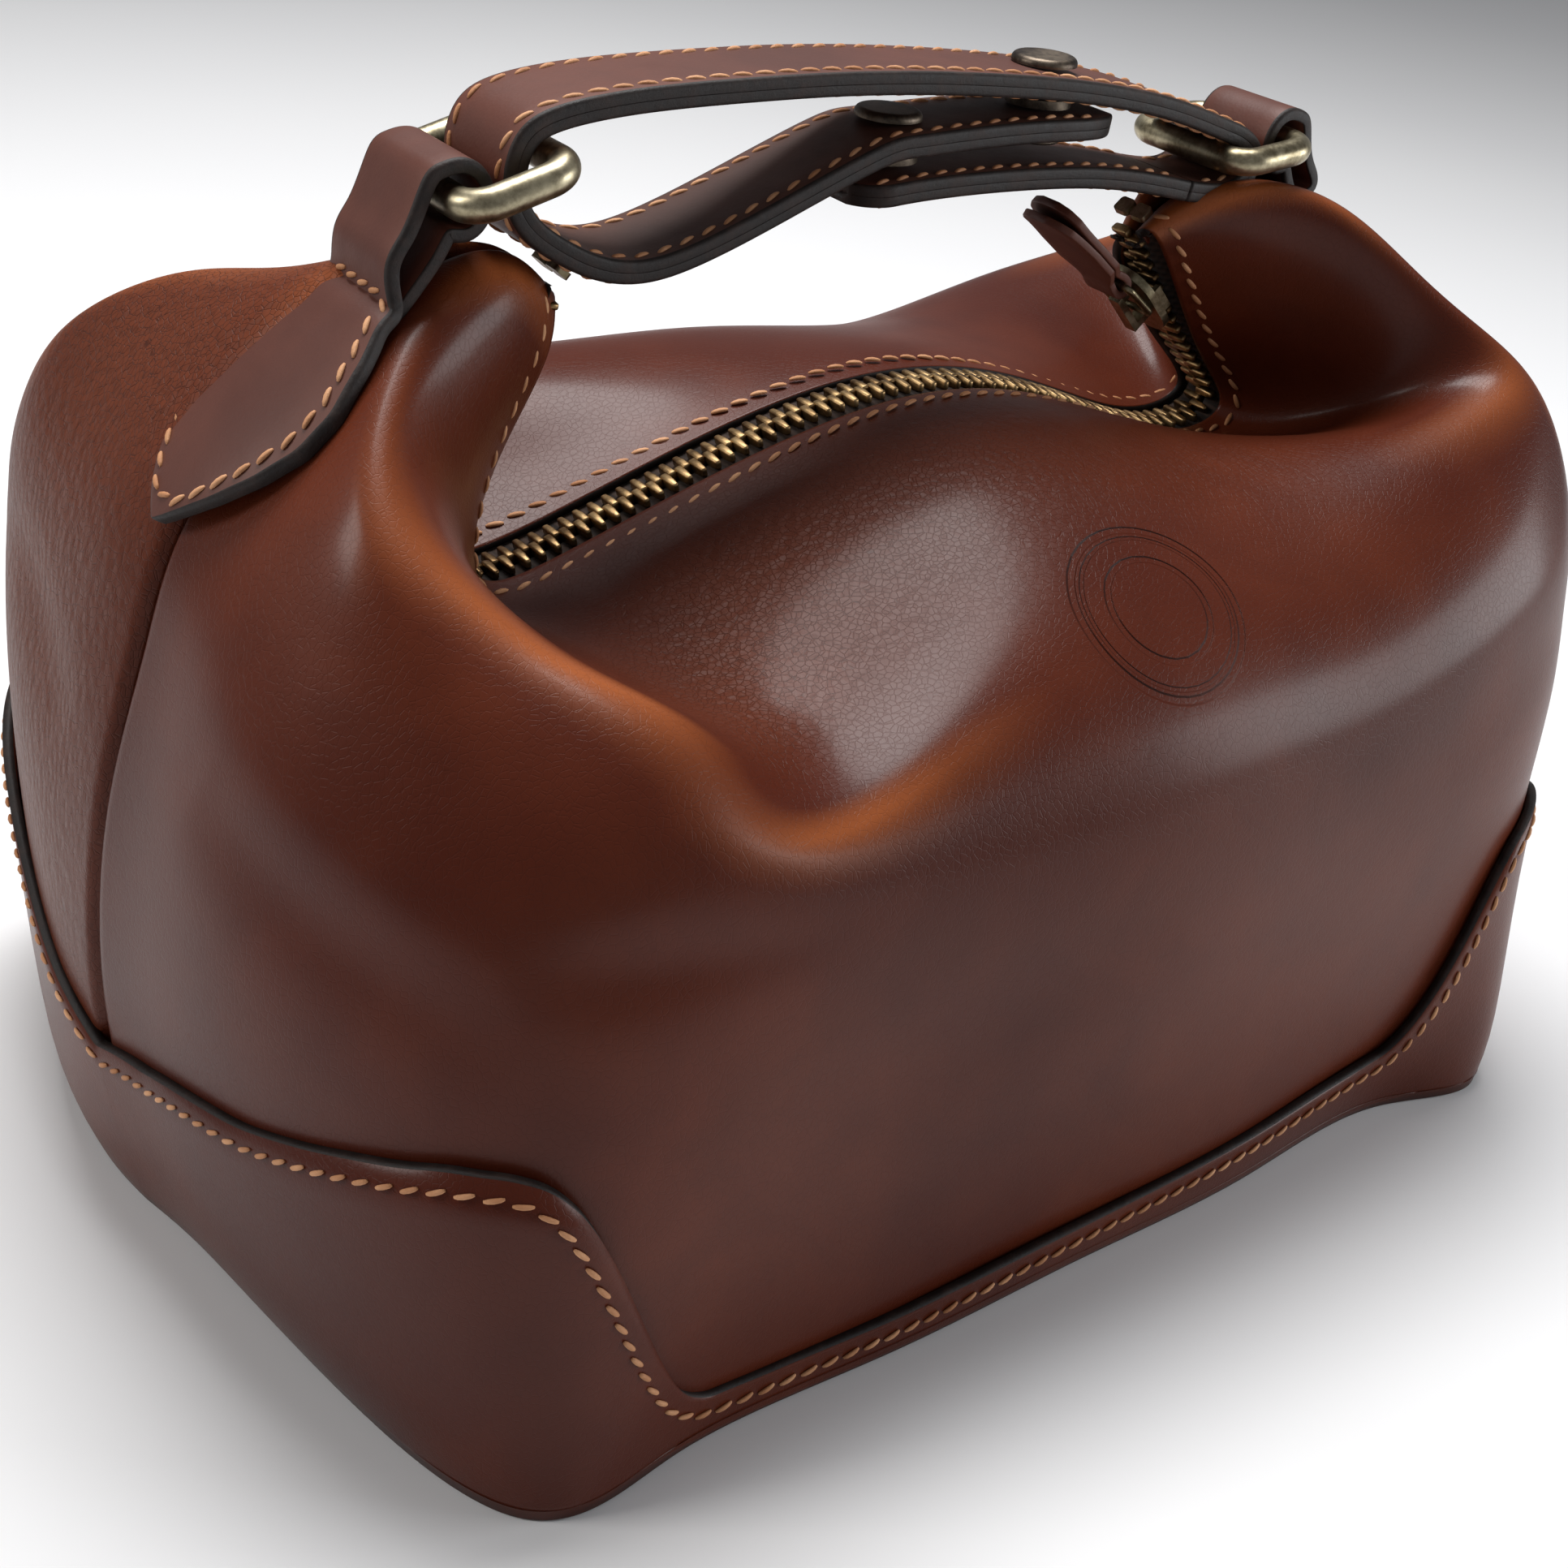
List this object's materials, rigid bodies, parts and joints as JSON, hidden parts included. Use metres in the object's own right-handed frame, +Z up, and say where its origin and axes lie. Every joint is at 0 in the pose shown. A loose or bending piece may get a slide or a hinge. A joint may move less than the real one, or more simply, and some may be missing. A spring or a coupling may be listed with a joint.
{
  "type": "shaving kit bag",
  "caption": "Soft leather wash bag with peaked ends, a metal zip along the top, a scalloped bottom trim and a snap-closed strap through two rings.",
  "frame": {"origin": "on the floor at the middle of the base", "axes": "+X along the bag towards the end where the zip closes, +Y to the back, +Z up"},
  "size_m": [0.2892, 0.1776, 0.1906],
  "materials": {
    "panel_leather": "glossy red-brown vegetable-tanned leather",
    "strap_leather": "smooth matte brown leather with dark painted edges",
    "strap_lining": "smooth dark brown lining leather",
    "lining_cloth": "plain woven tan cotton lining",
    "board": "stiff fibre board",
    "zip_tape": "dark brown woven zip tape",
    "antique_brass": "antique brass, worn bright on the high spots",
    "snap_metal": "dark oxidised brass snap"
  },
  "bodies": {
    "bag": {"front_panel": "panel_leather", "back_panel": "panel_leather", "base_trim": "panel_leather", "base_board": "board", "lining_front": "lining_cloth", "lining_back": "lining_cloth", "zip_tape_front": "zip_tape", "zip_tape_back": "zip_tape", "zip_teeth_front": "antique_brass", "zip_teeth_back": "antique_brass", "zip_end_stops": "antique_brass", "end_tab_left": "strap_leather", "end_tab_right": "strap_leather"},
    "zip_slider": {"zip_slider": "antique_brass"},
    "zip_puller": {"zip_pull_link": "antique_brass", "zip_puller": "strap_leather"},
    "ring_left": {"ring_left": "antique_brass"},
    "ring_right": {"ring_right": "antique_brass"},
    "handle": {"strap_leather": "strap_leather", "strap_lining": "strap_lining", "snap_1_cap": "snap_metal", "snap_1_socket": "snap_metal", "snap_1_stud": "snap_metal", "snap_1_stud_back": "snap_metal", "snap_2_cap": "snap_metal", "snap_2_socket": "snap_metal"},
    "strap_tail": {"strap_tail_leather": "strap_leather", "strap_tail_lining": "strap_lining", "snap_2_stud": "snap_metal", "snap_2_stud_back": "snap_metal"}
  },
  "joints": [
    {"name": "handle_lift", "type": "slide", "parent": "bag", "child": "handle", "axis": [0, 0, 1], "range_m": [0, 0.004]},
    {"name": "ring_left_swing", "type": "hinge", "parent": "bag", "child": "ring_left", "pos_m": [-0.087, 0, 0.1745], "axis": [0, -1, 0], "range_deg": [0, 15]},
    {"name": "ring_right_swing", "type": "hinge", "parent": "bag", "child": "ring_right", "pos_m": [0.087, 0, 0.1745], "axis": [0, 1, 0], "range_deg": [0, 15]},
    {"name": "strap_tail_open", "type": "hinge", "parent": "handle", "child": "strap_tail", "pos_m": [0.062, 0, 0.165], "axis": [0, -1, 0], "range_deg": [0, 10]},
    {"name": "slider_travel", "type": "slide", "parent": "bag", "child": "zip_slider", "axis": [0.7071, 0, -0.7071], "range_m": [0, 0.02]},
    {"name": "puller_swing", "type": "hinge", "parent": "zip_slider", "child": "zip_puller", "pos_m": [0.06313, 0, 0.14216], "axis": [0, -1, 0], "range_deg": [0, 26]}
  ],
  "couplings": [
    {"joint": "ring_left_swing", "follows": "handle_lift", "rad_per_m": 61.5},
    {"joint": "ring_right_swing", "follows": "handle_lift", "rad_per_m": 59.3}
  ]
}
